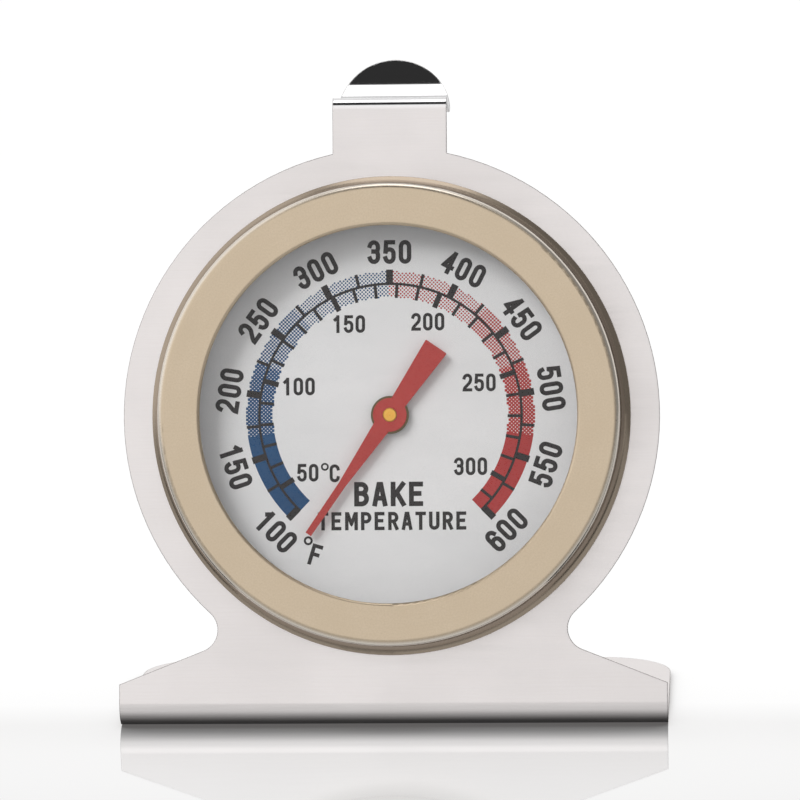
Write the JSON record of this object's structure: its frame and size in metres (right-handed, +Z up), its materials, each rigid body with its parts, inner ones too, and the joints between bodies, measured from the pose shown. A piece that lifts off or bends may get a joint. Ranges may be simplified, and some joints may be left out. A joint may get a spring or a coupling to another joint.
{
  "type": "oven thermometer",
  "caption": "Round dial thermometer in a ring-shaped sheet stand with a flat foot and a top hook; a coil behind the dial turns the pointer.",
  "frame": {"origin": "centre of the foot's flat resting face, on the plane of symmetry", "axes": "+Z up, -Y towards the viewer of the dial, +X to the viewer's right"},
  "size_m": [0.0612, 0.0382, 0.0721],
  "materials": {
    "stainless_sheet": "satin, rolled",
    "bezel_steel": "satin, warm heat tint",
    "case_steel": "drawn, bright",
    "spring_steel": "rolled",
    "spacer_aluminium": "turned",
    "dial_print": "satin print on aluminium",
    "clear_glass": "polished",
    "pointer_red": "satin",
    "brass": "turned",
    "spindle_steel": "turned",
    "bimetal": "rolled strip",
    "rivet_steel": "headed"
  },
  "bodies": {
    "housing": {"anchor_post": "rivet_steel", "bezel_ring": "bezel_steel", "bimetal_coil": "bimetal", "bridge": "case_steel", "bridge_rivets": "rivet_steel", "case_cup": "case_steel", "coil_rivet": "rivet_steel", "dial_plate": "dial_print", "frame_plate": "stainless_sheet", "front_bush": "brass", "lens": "clear_glass", "rear_bush": "brass", "retaining_ring": "spring_steel", "spacer_ring": "spacer_aluminium"},
    "movement": {"pointer": "pointer_red", "pointer_boss": "brass", "spindle": "spindle_steel", "thrust_washers": "spring_steel", "coil_collar": "brass"}
  },
  "joints": [
    {"name": "pointer_turn", "type": "hinge", "parent": "housing", "child": "movement", "pos_m": [0, -0.01172, 0.03426], "axis": [0, 0.9806, -0.1959], "range_deg": [-8, 280.3], "deforming": ["bimetal_coil"]}
  ]
}
